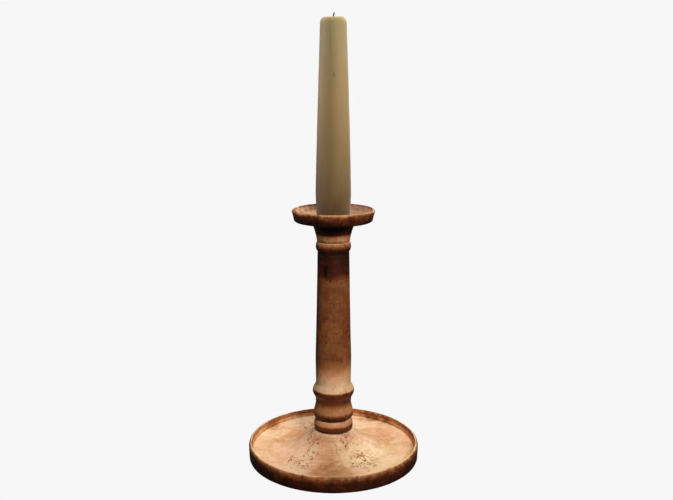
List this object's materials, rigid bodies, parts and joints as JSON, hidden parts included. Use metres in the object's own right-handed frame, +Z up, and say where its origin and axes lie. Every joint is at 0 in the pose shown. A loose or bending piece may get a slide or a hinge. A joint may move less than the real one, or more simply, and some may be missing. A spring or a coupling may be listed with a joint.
{
  "type": "candlestick",
  "caption": "Turned wooden candlestick with a wide dished base, slender beaded stem, shallow drip pan and a thick tapered candle that lifts off its iron spike.",
  "frame": {"origin": "centre of the felt pad's underside, on the surface that the candlestick stands on", "axes": "+Z up along the common axis of the base, stem, pan and candle; +X towards the side that the wick's tip leans to"},
  "size_m": [0.1294, 0.1294, 0.3297],
  "materials": {
    "base_wood": "worn orange-brown stain with darker marks along the rim",
    "stem_wood": "worn orange-brown stain, darker in the grooves",
    "pan_wood": "worn orange-brown stain with dark scuffs",
    "iron": "dark forged iron",
    "steel": "zinc-plated steel",
    "felt": "dark green wool felt",
    "wax": "tan beeswax, satin",
    "charred_wick": "charred braided cotton"
  },
  "bodies": {
    "candlestick": {"base": "base_wood", "foot_collar": "stem_wood", "stem": "stem_wood", "drip_pan": "pan_wood", "pricket": "iron", "base_screw": "steel", "washer": "steel", "felt_pad": "felt"},
    "candle_body": {"candle": "wax", "wick": "charred_wick"}
  },
  "joints": [
    {"name": "candle_lift", "type": "slide", "parent": "candlestick", "child": "candle_body", "axis": [0, 0, 1], "range_m": [0, 0.06]}
  ]
}
